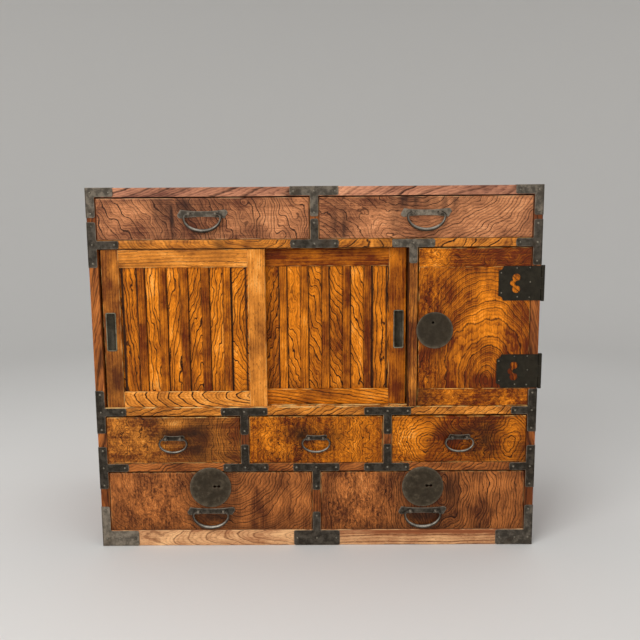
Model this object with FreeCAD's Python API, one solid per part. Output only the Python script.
import FreeCAD, Part
import math
import os

# A merchant's chest in millimetres. The front faces -Y, +X is to the right of someone who faces
# it, +Z is up, and the origin is on the floor under the middle of the carcase.

V = FreeCAD.Vector
TOUCH = 1e-6

# Carcase boards
case_width = 900.0
case_depth = 420.0
board = 18.0                  # sides, top, shelves and dividers
back_thickness = 9.0
bottom_thickness = 16.0
base_rail_height = 34.0
base_rail_depth = 24.0
runner_width = 30.0           # battens that the bottom drawers slide on
housing = 6.0                 # how far one board is let into another
finger_count = 5              # box-joint fingers across each top corner
edge_round = 1.0              # worn edge along the top board

# Clear heights of the rows, from the floor up, and the uprights between the openings
bottom_row_height = 128.0
small_row_height = 101.0
cupboard_height = 323.5
top_row_height = 84.5
centre_divider_x = 0.0
cupboard_divider_x = 196.5

# Drawers
front_thickness = 18.0
front_round = 1.5
front_foot_gap = 0.8          # the front's lower edge clears what the drawer runs on
front_lap = 10.0              # how far the sides and the floor are let into the front
drawer_side_gap = 1.0
drawer_top_gap = 2.5
drawer_back_gap = 9.0
drawer_wall = 9.0
drawer_floor = 7.0
wall_drop = 3.0               # sides stop this far below the top of the front

# Pulls: the bail hangs in two eye posts that pass through a waisted plate
pull_plate_thickness = 1.6
pull_corner = 3.0
bail_stand_off = 6.8          # bail axis in front of the drawer face
eye_wall = 2.0
eye_length = 5.0
eye_run = 1.2                 # straight stretch of the bail beside each eye
pin_clearance = 0.05
knob_length = 2.0
knob_lip = 1.0
knob_gap = 0.4
eye_sides = 8
bail_sides = 8
grip_steps = 8
shoulder_steps = 2
plate_steps = 6
stem_width = 4.0
stem_clearance = 0.1
clench_length = 14.0
clench_thickness = 1.5

large_plate_length = 100.0
large_plate_end = 17.0
large_plate_waist = 11.0
large_bail_width = 78.0
large_bail_drop = 37.0
large_bail_rod = 7.4
large_bail_tip = 4.6
large_bail_shoulder = 7.0

small_plate_length = 46.0
small_plate_end = 12.5
small_plate_waist = 9.6
small_bail_width = 61.0
small_bail_drop = 31.0
small_bail_rod = 5.2
small_bail_tip = 4.0
small_bail_shoulder = 10.0

top_pull_rise = 50.5          # bail axis above the floor of its opening
small_pull_rise = 54.0
lock_pull_gap = 3.0           # between a lock plate and the waist of the pull plate below it

# Locks
lock_plate_thickness = 2.0
lock_plate_bevel = 0.9        # the rim leans in
lock_plate_sides = 48
drawer_lock_diameter = 86.0
drawer_lock_drop = 34.0       # middle of the plate below the head of its opening
drawer_key_x = 13.0           # keyhole from the middle of the plate
drawer_key_z = 2.0
door_lock_diameter = 74.0
door_lock_overlap = 2.0       # how far the plate reaches over the cupboard divider
door_lock_rise = 157.0
door_key_x = -3.5
door_key_z = 16.0
key_radius = 2.2
key_spread = 7.0
key_slot = 1.8
key_sides = 8
lock_case_width = 52.0
lock_case_height = 50.0
lock_case_depth = 10.0
bolt_width = 20.0
bolt_thickness = 6.0
bolt_length = 26.0
bolt_throw = 9.0
bolt_clearance = 0.3
mortise_clearance = 0.6

# Sliding doors
track_inset = 3.5             # face of the outer door behind the carcase front
sliding_thickness = 15.0
sliding_gap = 2.5             # between the two doors
sliding_overlap = 43.5
left_rest_gap = 4.5
right_rest_gap = 2.5
stile_width = 35.0
top_rail_width = 37.0
bottom_rail_width = 33.0
tongue_thickness = 7.0
tongue_clearance = 0.4
head_groove = 9.0
head_tongue = 6.0
head_gap = 2.0
sill_groove = 4.0
sill_gap = 1.0
tenon_length = 22.0
tenon_thickness = 5.0
panel_thickness = 4.0
panel_inset = 5.0             # panel face behind the frame's face
panel_tongue = 5.0            # how far the panel is let into the frame
slat_count = 5
slat_width = 15.0
slat_thickness = 3.5
frame_round = 0.8

# Recessed finger pulls in the sliding doors
cup_width = 21.0
cup_height = 79.0
cup_rise = 157.0              # middle of the pull above the cupboard floor
cup_inset = 15.0              # middle of the pull from the edge of its door
cup_depth = 8.0
cup_wall = 1.2
cup_rim = 1.0
cup_rim_width = 2.2
cup_corner = 2.5

# Hinged door
door_thickness = 18.0
door_latch_gap = 2.5
door_hinge_gap = 1.0
door_head_gap = 1.5
door_sill_gap = 1.2
top_cleat = 38.0
bottom_cleat = 36.0
cleat_tongue = 8.0
cleat_tongue_thickness = 6.0

# Ironwork nailed on the carcase
iron = 1.4
iron_margin = 0.8             # bare wood left each side of a strap
iron_wrap = 28.0              # how far a strap is folded round a corner
top_corner_arm = 54.0
top_corner_leg = 58.0
base_corner_arm = 76.0
base_corner_leg = 87.0
left_post_arm = 61.0
right_post_arm = 51.0
post_leg = 45.0               # reach of a post strap each side of its shelf's middle
divider_arm = 48.0
divider_stem = 40.0
cupboard_arm = 42.5
cupboard_stem = 31.0
lock_iron_gap = 1.2

# Hinges: a pierced leaf on the door, a leaf on the side, three knuckles and a pin
hinge_height = 69.0
hinge_iron_gap = 2.0          # between a hinge and the nearest post strap
hinge_reach = 64.5            # door leaf past the edge of the door
side_leaf = 56.0
leaf_notch = 9.0              # hollowed corners
barrel_radius = 4.0
barrel_sides = 12
barrel_clearance = 0.3
barrel_inset = 1.0            # pin axis behind the carcase front
knuckle_count = 3
knuckle_gap = 0.3
hinge_pin_radius = 2.0
pin_head = 1.5
pin_head_width = 6.0          # hammered square over the barrel's ends
pierce_lobe = 8.0             # round ends of the pierced crescent
pierce_spread = 11.5
pierce_side_lobe = 6.5
pierce_side_shift = 6.0
pierce_bump = 5.0
pierce_bump_shift = 2.5
pierce_sides = 16
pierce_inset = 35.0           # middle of the crescent from the end of the leaf

# Faces and levels that follow from the sizes above
half = case_width / 2
inner = half - board
front = -case_depth / 2
back = case_depth / 2
back_face = back - back_thickness
lower_shelf_z = base_rail_height + bottom_row_height
small_floor = lower_shelf_z + board
middle_shelf_z = small_floor + small_row_height
cupboard_floor = middle_shelf_z + board
upper_shelf_z = cupboard_floor + cupboard_height
top_floor = upper_shelf_z + board
top_z = top_floor + top_row_height
case_height = top_z + board
small_opening = (2 * inner - 2 * board) / 3
small_divider_x = (small_opening + board) / 2
bottom_lock_rise = bottom_row_height - drawer_lock_drop
bottom_pull_rise = bottom_lock_rise - drawer_lock_diameter / 2 - lock_pull_gap - large_plate_waist / 2
cupboard_wall = cupboard_divider_x + board / 2       # hinged door's side of the divider
slide_wall = cupboard_divider_x - board / 2          # sliding doors' side of the divider
outer_track = front + track_inset
inner_track = outer_track + sliding_thickness + sliding_gap

nodes = {}


def slab(x, y, z):
    """A board between two limits along each axis."""
    return Part.makeBox(x[1] - x[0], y[1] - y[0], z[1] - z[0], V(x[0], y[0], z[0]))


def about(middle, width):
    """The limits of a width centred on a middle."""
    return (middle - width / 2, middle + width / 2)


def merged(shapes):
    """One solid from pieces that touch or overlap, with no seams left on its faces."""
    return shapes[0].fuse(shapes[1:]).removeSplitter()


def rod(radius, start, end):
    """A round bar from one point to another."""
    return Part.makeCylinder(radius, (end - start).Length, start, end - start)


def ring(sides, radius, spot, along):
    """Corners of a regular polygon round a point of a path that stays in a plane square to Y."""
    across = V(-along.z, 0, along.x).normalize()
    turns = [2 * math.pi * (i + 0.5) / sides for i in range(sides)]
    return [spot + across * (radius * math.cos(turn)) + V(0, radius * math.sin(turn), 0) for turn in turns]


def disc(sides, radius, x, y, z):
    """Corners of a regular polygon on a plane square to Y."""
    turns = [2 * math.pi * (i + 0.5) / sides for i in range(sides)]
    return [V(x + radius * math.cos(turn), y, z + radius * math.sin(turn)) for turn in turns]


def flat(*corners):
    """A flat face with these corners."""
    return Part.Face(Part.makePolygon(list(corners) + [corners[0]]))


def forged_bar(rings):
    """A bar with hammered facets: flat triangles from each ring of corners to the next, and two flat ends."""
    faces = [flat(*rings[0]), flat(*rings[-1])]
    for near, far in zip(rings, rings[1:]):
        for i in range(len(near)):
            faces += [flat(near[i - 1], near[i], far[i]), flat(near[i - 1], far[i], far[i - 1])]
    skin = Part.makeShell(faces)
    skin.sewShape()
    bar = Part.Solid(skin)
    return bar if bar.Volume > 0 else bar.reversed()


def soften(shape, face_y, width):
    """Take off the straight arrises round a piece's front face."""
    edges = [edge for edge in shape.Edges
             if isinstance(edge.Curve, Part.Line) and all(abs(v.Y - face_y) < TOUCH for v in edge.Vertexes)]
    return shape.makeChamfer(width, edges)


def side_edges(shape):
    """The edges of a plate that run straight through its thickness, along Y."""
    return [edge for edge in shape.Edges
            if isinstance(edge.Curve, Part.Line) and abs(abs(edge.Curve.Direction.y) - 1) < TOUCH]


# Locks

def keyhole(x, z, depth_limits):
    """Two drilled holes joined by a slot, to be cut through a plate and the board behind it."""
    holes = [forged_bar([disc(key_sides, key_radius, hole_x, y, z) for y in depth_limits])
             for hole_x in about(x, key_spread)]
    return merged([slab(about(x, key_spread), depth_limits, about(z, key_slot))] + holes)


def lock_plate(diameter, x, z, key_x, key_z):
    """A round plate with a leaning rim and a keyhole."""
    radius = diameter / 2
    face_y = front - lock_plate_thickness
    plate = forged_bar([disc(lock_plate_sides, radius, x, front, z),
                        disc(lock_plate_sides, radius - lock_plate_bevel, x, face_y, z)])
    return plate.cut(keyhole(x + key_x, z + key_z, (face_y, front)))


def lock_works(placement):
    """Block for the mortise, hollow lock case, bolt and the mortise that the thrown bolt enters.

    Made with the bolt leaving along +Z at the origin, in the board's back face.
    """
    middle_y = -lock_case_depth / 2

    def bolt_room(gap, limits):
        return slab(about(0, bolt_width + 2 * gap), about(middle_y, bolt_thickness + 2 * gap), limits)

    block = slab(about(0, lock_case_width), (-lock_case_depth, 0), (-lock_case_height, 0))
    bolt = bolt_room(0, (-bolt_length, 0))
    case = block.cut(bolt_room(bolt_clearance, (-bolt_length, lock_case_height)))
    keeper = bolt_room(mortise_clearance, (0, bolt_throw + mortise_clearance))
    shapes = [block, case, bolt, keeper]
    for shape in shapes:
        shape.Placement = placement
    return shapes


# Pulls

large_pull = (large_plate_length, large_plate_end, large_plate_waist, large_bail_width,
              large_bail_drop, large_bail_rod, large_bail_tip, large_bail_shoulder)
small_pull = (small_plate_length, small_plate_end, small_plate_waist, small_bail_width,
              small_bail_drop, small_bail_rod, small_bail_tip, small_bail_shoulder)


def post_offset(pull):
    """How far each eye post stands from the middle of its pull."""
    width, tip, shoulder = pull[3], pull[6], pull[7]
    return width / 2 - tip / 2 - shoulder - eye_run - eye_length / 2


def waisted_plate(length, end, waist, x, z):
    """A flat plate with hollow long edges and softened corners."""
    outline = []
    for side in (1, -1):
        for step in range(plate_steps + 1):
            part = 2 * step / plate_steps - 1
            rise = waist / 2 + (end - waist) / 2 * part ** 2
            outline.append(V(x + side * part * (length / 2 - pull_corner), front, z + side * rise))
        for rise in (1, -1):
            outline.append(V(x + side * length / 2, front, z + side * rise * (end / 2 - pull_corner)))
    return flat(*outline).extrude(V(0, -pull_plate_thickness, 0))


def eye_post(x, z, tip):
    """A forged eye with a square stem through the plate and the drawer front, clenched behind it."""
    bore = tip / 2 + pin_clearance
    axis_y = front - bail_stand_off
    inside = front + front_thickness
    ends = [V(end_x, axis_y, z) for end_x in about(x, eye_length)]
    eye = forged_bar([ring(eye_sides, bore + eye_wall, end, V(1, 0, 0)) for end in ends])
    stem = slab(about(x, stem_width), (axis_y, inside), about(z, stem_width))
    clench = slab(about(x, clench_length), (inside, inside + clench_thickness), about(z, stem_width))
    return merged([eye, stem, clench]).cut(rod(bore, *ends))


def bail(pull, x, z):
    """A drop handle: pins in the eyes, round shoulders and a half-oval grip that swells in the middle."""
    width, drop, rod_width, tip, shoulder = pull[3:]
    axis_y = front - bail_stand_off
    reach = width / 2 - tip / 2
    depth = drop - rod_width / 2 - shoulder
    bend_x, bend_z = reach - shoulder, z - shoulder
    rings = []
    for step in range(shoulder_steps):
        angle = math.pi / 2 * (1 - step / shoulder_steps)
        spot = V(x + bend_x + shoulder * math.cos(angle), axis_y, bend_z + shoulder * math.sin(angle))
        rings.append(ring(bail_sides, tip / 2, spot, V(math.sin(angle), 0, -math.cos(angle))))
    for step in range(grip_steps + 1):
        angle = math.pi * step / grip_steps
        radius = tip / 2 + (rod_width - tip) / 2 * math.sin(angle) ** 2
        spot = V(x + reach * math.cos(angle), axis_y, bend_z - depth * math.sin(angle))
        rings.append(ring(bail_sides, radius, spot, V(-reach * math.sin(angle), 0, -depth * math.cos(angle))))
    for step in range(1, shoulder_steps + 1):
        angle = math.pi * (1 - step / shoulder_steps / 2)
        spot = V(x - bend_x + shoulder * math.cos(angle), axis_y, bend_z + shoulder * math.sin(angle))
        rings.append(ring(bail_sides, tip / 2, spot, V(math.sin(angle), 0, -math.cos(angle))))
    pieces = [forged_bar(rings)]
    knob_x = post_offset(pull) - eye_length / 2 - knob_gap
    for side in (-1, 1):
        knob = [V(x + side * (knob_x - depth), axis_y, z) for depth in (knob_length, 0)]
        pieces.append(rod(tip / 2, knob[1], V(x + side * bend_x, axis_y, z)))
        pieces.append(forged_bar([ring(eye_sides, tip / 2 + knob_lip, end, V(1, 0, 0)) for end in knob]))
    return merged(pieces)


def pull_plate(pull, x, z):
    """The plate and its two eye posts, as separate solids."""
    length, end, waist = pull[:3]
    plate = waisted_plate(length, end, waist, x, z)
    posts = [eye_post(x + side * post_offset(pull), z, pull[6]) for side in (-1, 1)]
    return Part.makeCompound([plate.cut(stem_holes(pull, x, z))] + posts)


def stem_holes(pull, x, z):
    """Square holes for the two stems, through the plate and the drawer front."""
    width = stem_width + 2 * stem_clearance
    depth = (front - pull_plate_thickness, front + front_thickness)
    return [slab(about(x + side * post_offset(pull), width), depth, about(z, width)) for side in (-1, 1)]


# Drawers

def drawer(name, left, right, floor, clear, pull, rise):
    """A lapped drawer with its pull, and for a bottom drawer its lock. Returns the mortise for the bolt."""
    x0, x1 = left + drawer_side_gap, right - drawer_side_gap
    middle = (x0 + x1) / 2
    top = floor + clear - drawer_top_gap
    inside = front + front_thickness
    lap_y = inside - front_lap
    end_y = back_face - drawer_back_gap
    walls = (floor + drawer_floor, top - wall_drop)
    wall_x = (x0 + drawer_wall, x1 - drawer_wall)
    base = slab((x0, x1), (lap_y, end_y), (floor, floor + drawer_floor))
    sides = [slab(limits, (lap_y, end_y), walls) for limits in ((x0, wall_x[0]), (wall_x[1], x1))]
    rear = slab(wall_x, (end_y - drawer_wall, end_y), walls)
    face = soften(slab((x0, x1), (front, inside), (floor + front_foot_gap, top)), front, front_round)
    face = face.cut([base] + sides).cut(stem_holes(pull, middle, floor + rise))
    keeper = None
    if name in locked_drawers:
        block, case, bolt, keeper = lock_works(FreeCAD.Placement(V(middle, inside, top), FreeCAD.Rotation()))
        lock_z = floor + clear - drawer_lock_drop
        plate = lock_plate(drawer_lock_diameter, middle, lock_z, drawer_key_x, drawer_key_z)
        face = face.cut(block).cut(keyhole(middle + drawer_key_x, lock_z + drawer_key_z, (front, inside)))
        nodes[name + "_lock"] = Part.makeCompound([plate, case])
        nodes[name + "_lock_bolt"] = bolt
    nodes[name + "_drawer_front"] = face
    nodes[name + "_drawer_box"] = Part.makeCompound([base] + sides + [rear])
    nodes[name + "_pull_plate"] = pull_plate(pull, middle, floor + rise)
    nodes[name + "_bail"] = bail(pull, middle, floor + rise)
    return keeper


centre_walls = (centre_divider_x - board / 2, centre_divider_x + board / 2)
small_walls = (small_divider_x - board / 2, small_divider_x + board / 2)
locked_drawers = ("bottom_left", "bottom_right")
top_row = (top_floor, top_row_height, large_pull, top_pull_rise)
small_row = (small_floor, small_row_height, small_pull, small_pull_rise)
bottom_row = (base_rail_height, bottom_row_height, large_pull, bottom_pull_rise)
drawers = (
    ("top_left", -inner, centre_walls[0], *top_row),
    ("top_right", centre_walls[1], inner, *top_row),
    ("small_left", -inner, -small_walls[1], *small_row),
    ("small_middle", -small_walls[0], small_walls[0], *small_row),
    ("small_right", small_walls[1], inner, *small_row),
    ("bottom_left", -inner, centre_walls[0], *bottom_row),
    ("bottom_right", centre_walls[1], inner, *bottom_row),
)
drawer_keepers = [drawer(*row) for row in drawers]
drawer_keepers = [keeper for keeper in drawer_keepers if keeper]


# Sliding doors

def finger_cup(x, z, face_y):
    """A pressed iron cup with a thin rim. Returns the cup and the block that its mortise takes."""

    def layer(inset, limits):
        return slab(about(x, cup_width - 2 * inset), limits, about(z, cup_height - 2 * inset))

    block = layer(cup_rim_width, (face_y, face_y + cup_depth))
    rim = layer(0, (face_y - cup_rim, face_y))
    hollow = layer(cup_rim_width + cup_wall, (face_y - cup_rim, face_y + cup_depth - cup_wall))
    rim, hollow = [shape.makeChamfer(cup_corner, side_edges(shape)) for shape in (rim, hollow)]
    return merged([rim, block]).cut(hollow), block


def sliding_door(name, left, face_y, cup_x):
    """Framed door with tongues at head and sill, and slats over the joints of its panel boards."""
    door_width = (slide_wall + inner - left_rest_gap - right_rest_gap + sliding_overlap) / 2
    right = left + door_width
    depth = (face_y, face_y + sliding_thickness)
    middle_y = face_y + sliding_thickness / 2
    low, high = cupboard_floor + sill_gap, upper_shelf_z - head_gap
    low_tip, high_tip = cupboard_floor - sill_groove, upper_shelf_z + head_tongue
    sides = (left, left + stile_width, right - stile_width, right)
    panel_z = (cupboard_floor + bottom_rail_width, upper_shelf_z - top_rail_width)

    stiles = [soften(slab(limits, depth, (low_tip, high_tip)), face_y, frame_round)
              for limits in (sides[:2], sides[2:])]
    rails = []
    for limits in ((low_tip, panel_z[0]), (panel_z[1], high_tip)):
        rail = soften(slab(sides[1:3], depth, limits), face_y, frame_round)
        tenon_z = (max(limits[0], low + tenon_thickness), min(limits[1], high - tenon_thickness))
        tenon_x = (sides[1] - tenon_length, sides[2] + tenon_length)
        rails.append(merged([rail, slab(tenon_x, about(middle_y, tenon_thickness), tenon_z)]))
    tongue = about(middle_y, tongue_thickness)
    rebates = [slab((left, right), limits, z) for limits in ((depth[0], tongue[0]), (tongue[1], depth[1]))
               for z in ((low_tip, low), (high, high_tip))]

    panel_y = (face_y + panel_inset, face_y + panel_inset + panel_thickness)
    pitch = (sides[2] - sides[1]) / (slat_count + 1)
    joints = [sides[1] + pitch * i for i in range(1, slat_count + 1)]
    edges = [sides[1] - panel_tongue] + joints + [sides[2] + panel_tongue]
    board_z = (panel_z[0] - panel_tongue, panel_z[1] + panel_tongue)
    boards = [slab(limits, panel_y, board_z) for limits in zip(edges, edges[1:])]
    slat_y = (panel_y[0] - slat_thickness, panel_y[0])
    slats = [soften(slab(about(x, slat_width), slat_y, panel_z), slat_y[0], frame_round) for x in joints]

    cup, block = finger_cup(cup_x, cupboard_floor + cup_rise, face_y)
    frame = [member.cut(rebates + boards) for member in rails + [stile.cut(rails) for stile in stiles]]
    nodes[name + "_sliding_frame"] = Part.makeCompound([member.cut(block) for member in frame])
    nodes[name + "_sliding_panel"] = Part.makeCompound(boards + slats)
    nodes[name + "_finger_pull"] = cup
    return right


left_door_x = -inner + left_rest_gap
left_door_right = sliding_door("left", left_door_x, outer_track, left_door_x + cup_inset)
right_door_x = left_door_right - sliding_overlap
sliding_door("right", right_door_x, inner_track, slide_wall - right_rest_gap - cup_inset)


def track_grooves(limits):
    """The pair of grooves that the doors' tongues run in, between two levels."""
    width = tongue_thickness + 2 * tongue_clearance
    return [slab((-inner, slide_wall), about(face_y + sliding_thickness / 2, width), limits)
            for face_y in (outer_track, inner_track)]


# Hinged door and its two hinges

def hollow_corners(plate, x, z, along):
    """Cut a round hollow into two corners of a leaf, at one end of it."""
    for corner_z in z:
        start = V(*x, corner_z)
        plate = plate.cut(rod(leaf_notch, start - along, start + along))
    return plate


def pierced_crescent(x, z):
    """The traditional pierced ornament: three round lobes round a bump."""

    def lobe(radius, shift_x, shift_z):
        faces = (front - iron, front)
        return forged_bar([disc(pierce_sides, radius, x + shift_x, y, z + shift_z) for y in faces])

    lobes = [lobe(pierce_lobe, 0, pierce_spread), lobe(pierce_lobe, 0, -pierce_spread),
             lobe(pierce_side_lobe, -pierce_side_shift, 0)]
    return merged(lobes).cut(lobe(pierce_bump, pierce_bump_shift, 0))


def hinge(z0):
    """Door leaf, side leaf and pin of one hinge whose lower edge is at z0."""
    z1 = z0 + hinge_height
    pin_x, pin_y = half + barrel_radius + barrel_clearance, front + barrel_inset
    leaf_x = inner - door_hinge_gap - hinge_reach
    leaf_end = V(0, 2 * iron, 0)
    leaf = slab((leaf_x, half), (front - iron, front), (z0, z1))
    leaf = hollow_corners(leaf, (leaf_x, front), (z0, z1), leaf_end)
    leaf = leaf.cut(pierced_crescent(leaf_x + pierce_inset, (z0 + z1) / 2))
    side_y = pin_y + barrel_radius + barrel_clearance
    side = slab((half, half + iron), (side_y, side_y + side_leaf), (z0, z1))
    side = hollow_corners(side, (half, side_y + side_leaf), (z0, z1), V(2 * iron, 0, 0))
    door_pieces, side_pieces = [leaf], [side]
    step = hinge_height / knuckle_count
    for i in range(knuckle_count):
        limits = (z0 + i * step + knuckle_gap / 2, z0 + (i + 1) * step - knuckle_gap / 2)
        barrel = forged_bar([ring(barrel_sides, barrel_radius, V(pin_x, pin_y, z), V(0, 0, 1))
                             for z in limits])
        if i % 2:
            door_pieces += [barrel, slab((half, pin_x), (front - iron, front), limits)]
        else:
            side_pieces += [barrel, slab((half, half + iron), (pin_y, side_y), limits)]
    bore = rod(hinge_pin_radius + pin_clearance, V(pin_x, pin_y, z0), V(pin_x, pin_y, z1))
    heads = [slab(about(pin_x, pin_head_width), about(pin_y, pin_head_width), limits)
             for limits in ((z0 - pin_head, z0), (z1, z1 + pin_head))]
    pin = merged([rod(hinge_pin_radius, V(pin_x, pin_y, z0), V(pin_x, pin_y, z1))] + heads)
    return merged(door_pieces).cut(bore), merged(side_pieces).cut(bore), pin


def hinged_door():
    """Board between two cleats, with its lock. Returns the mortise for the bolt."""
    x = (cupboard_wall + door_latch_gap, inner - door_hinge_gap)
    y = (front, front + door_thickness)
    low, high = cupboard_floor + door_sill_gap, upper_shelf_z - door_head_gap
    panel_z = (low + bottom_cleat, high - top_cleat)
    tongue = slab(x, about(front + door_thickness / 2, cleat_tongue_thickness),
                  (panel_z[0] - cleat_tongue, panel_z[1] + cleat_tongue))
    panel = merged([soften(slab(x, y, panel_z), front, frame_round), tongue])
    cleats = [soften(slab(x, y, limits), front, frame_round).cut(panel)
              for limits in ((low, panel_z[0]), (panel_z[1], high))]

    lock_x = cupboard_wall - door_lock_overlap + door_lock_diameter / 2
    lock_z = cupboard_floor + door_lock_rise
    turned = FreeCAD.Placement(V(x[0], y[1], lock_z), FreeCAD.Rotation(V(0, 1, 0), -90))
    block, case, bolt, keeper = lock_works(turned)
    plate = lock_plate(door_lock_diameter, lock_x, lock_z, door_key_x, door_key_z)
    nodes["door_board"] = panel.cut(block).cut(keyhole(lock_x + door_key_x, lock_z + door_key_z, y))
    nodes["door_cleats"] = Part.makeCompound(cleats)
    nodes["door_lock"] = Part.makeCompound([plate, case])
    nodes["door_lock_bolt"] = bolt
    return keeper


door_keeper = hinged_door()
hinge_inset = post_leg - board / 2 + hinge_iron_gap
hinge_levels = (upper_shelf_z - hinge_inset - hinge_height, cupboard_floor + hinge_inset)
hinge_sets = [hinge(level) for level in hinge_levels]
for index, name in enumerate(("hinge_door_leaves", "hinge_side_leaves", "hinge_pins")):
    nodes[name] = Part.makeCompound([pieces[index] for pieces in hinge_sets])


# Carcase

def upright(x, floor, ceiling):
    """A divider let into the boards above and below its opening."""
    return slab(about(x, board), (front, back_face), (floor - housing, ceiling + housing))


def top_fingers(side, first):
    """Every second finger of one top corner's box joint, from the given one."""
    pitch = case_depth / finger_count
    x = sorted((side * inner, side * half))
    return [slab(x, (front + i * pitch, front + (i + 1) * pitch), (top_z, case_height))
            for i in range(first, finger_count, 2)]


across = (-inner - housing, inner + housing)
behind_rail = (front + base_rail_depth, back_face)
back_panel = slab(across, (back_face, back), (0, top_z + housing))
base_rail = slab(across, (front, front + base_rail_depth), (0, base_rail_height))
floor_board = slab(across, behind_rail, (0, bottom_thickness))
shelf_levels = (lower_shelf_z, middle_shelf_z, upper_shelf_z)
shelves = [slab(across, (front, back_face), (z, z + board)) for z in shelf_levels]
lower_shelf, middle_shelf, upper_shelf = shelves
head_grooves = track_grooves((upper_shelf_z, upper_shelf_z + head_groove))
sill_grooves = track_grooves((cupboard_floor - sill_groove, cupboard_floor))
top_divider = upright(centre_divider_x, top_floor, top_z)
small_dividers = [upright(x, small_floor, middle_shelf_z) for x in (-small_divider_x, small_divider_x)]
bottom_divider = upright(centre_divider_x, base_rail_height, lower_shelf_z)
cupboard_divider = upright(cupboard_divider_x, cupboard_floor, upper_shelf_z)
runner_limits = ((-inner, -inner + runner_width), about(centre_divider_x, board + 2 * runner_width),
                 (inner - runner_width, inner))
runners = [slab(x, behind_rail, (bottom_thickness, base_rail_height)).cut(bottom_divider)
           for x in runner_limits]

top_board = slab((-half, half), (front, back), (top_z, case_height)).cut([back_panel, top_divider])
for side, name in ((-1, "left_side"), (1, "right_side")):
    fingers = top_fingers(side, 1)
    wall = slab(sorted((side * inner, side * half)), (front, back), (0, top_z))
    nodes[name] = merged([wall] + fingers).cut(shelves + [back_panel, base_rail, floor_board])
    top_board = top_board.cut(fingers)
long_edges = [edge for edge in top_board.Edges if edge.Length > 2 * inner - TOUCH
              and abs(edge.BoundBox.ZMin - case_height) < TOUCH]
nodes["top_board"] = top_board.makeFillet(edge_round, long_edges)
nodes["back_panel"] = back_panel
nodes["base_rail"] = base_rail.cut(bottom_divider)
nodes["bottom_board"] = floor_board
nodes["drawer_runners"] = Part.makeCompound(runners)
nodes["lower_shelf"] = lower_shelf.cut(small_dividers + [bottom_divider] + drawer_keepers)
nodes["middle_shelf"] = middle_shelf.cut(small_dividers + [cupboard_divider] + sill_grooves)
nodes["upper_shelf"] = upper_shelf.cut([top_divider, cupboard_divider] + head_grooves)
nodes["drawer_dividers"] = Part.makeCompound([top_divider, bottom_divider] + small_dividers)
nodes["cupboard_divider"] = cupboard_divider.cut(door_keeper)


# Iron straps over the joints of the carcase

def strap(x, z):
    """A flat strap on the carcase front."""
    return slab(x, (front - iron, front), z)


def within(low, high):
    """The width of a strap on a member, with a bare margin each side."""
    return (low + iron_margin, high - iron_margin)


def corner_iron(side, edge, leg_end, arm, wrap_top):
    """An angle iron on a front corner, folded on to the side and, at the head, on to the top."""
    outer = side * (half + iron)
    leg = sorted((leg_end, case_height if wrap_top else iron_margin))
    arm_x = sorted((outer, side * (half - arm)))
    pieces = [strap(sorted((outer, side * (inner + iron_margin))), leg), strap(arm_x, edge),
              slab(sorted((outer, side * half)), (front - iron, front + iron_wrap), leg)]
    if wrap_top:
        pieces.append(slab(arm_x, (front - iron, front + iron_wrap), (case_height, case_height + iron)))
    return merged(pieces)


def post_iron(side, shelf_z, arm):
    """A tee on a corner post, over the end of a shelf and folded on to the side."""
    outer = side * (half + iron)
    leg = about(shelf_z + board / 2, 2 * post_leg)
    return merged([strap(sorted((outer, side * (inner + iron_margin))), leg),
                   strap(sorted((outer, side * (half - arm))), within(shelf_z, shelf_z + board)),
                   slab(sorted((outer, side * half)), (front - iron, front + iron_wrap), leg)])


def divider_iron(x, rail, stem, arm):
    """A tee that ties a divider to the rail above or below it."""
    stem_z = sorted((stem, sum(rail) / 2))
    return merged([strap(about(x, 2 * arm), rail), strap(within(x - board / 2, x + board / 2), stem_z)])


top_edge = (top_z + iron_margin, case_height + iron)
base_edge = within(0, base_rail_height)
corner_irons = []
post_irons = []
for side, arm in ((-1, left_post_arm), (1, right_post_arm)):
    corner_irons.append(corner_iron(side, top_edge, case_height - top_corner_leg, top_corner_arm, True))
    corner_irons.append(corner_iron(side, base_edge, base_corner_leg, base_corner_arm, False))
    post_irons += [post_iron(side, z, arm) for z in shelf_levels]

lower_rail, middle_rail, upper_rail = [within(z, z + board) for z in shelf_levels]
top_tee = merged([divider_iron(centre_divider_x, top_edge, top_z - divider_stem, divider_arm),
                  slab(about(centre_divider_x, 2 * divider_arm), (front - iron, front + iron_wrap),
                       (case_height, case_height + iron))])
tees = [top_tee,
        divider_iron(centre_divider_x, upper_rail, top_floor + divider_stem, divider_arm),
        divider_iron(cupboard_divider_x, upper_rail, upper_shelf_z - cupboard_stem, cupboard_arm),
        divider_iron(centre_divider_x, base_edge, base_rail_height + divider_stem, divider_arm)]
lock_reach = drawer_lock_diameter / 2 + lock_iron_gap
lock_spots = [V(x, front, lower_shelf_z - drawer_lock_drop)
              for x in ((centre_walls[0] - inner) / 2, (centre_walls[1] + inner) / 2)]
lock_room = [rod(lock_reach, spot - V(0, 2 * iron, 0), spot) for spot in lock_spots]
lower_tees = [divider_iron(centre_divider_x, lower_rail, lower_shelf_z - divider_stem, divider_arm)]
for x in (-small_divider_x, small_divider_x):
    tees.append(divider_iron(x, middle_rail, middle_shelf_z - divider_stem, divider_arm))
    lower_tees.append(divider_iron(x, lower_rail, small_floor + divider_stem, divider_arm))
nodes["corner_irons"] = Part.makeCompound(corner_irons)
nodes["post_irons"] = Part.makeCompound(post_irons)
nodes["divider_irons"] = Part.makeCompound(tees + [tee.cut(lock_room) for tee in lower_tees])

os.makedirs("parts", exist_ok=True)
for name, shape in nodes.items():
    shape.exportStep("parts/" + name + ".step")
print(len(nodes), "nodes,", sum(len(shape.Solids) for shape in nodes.values()), "solids")
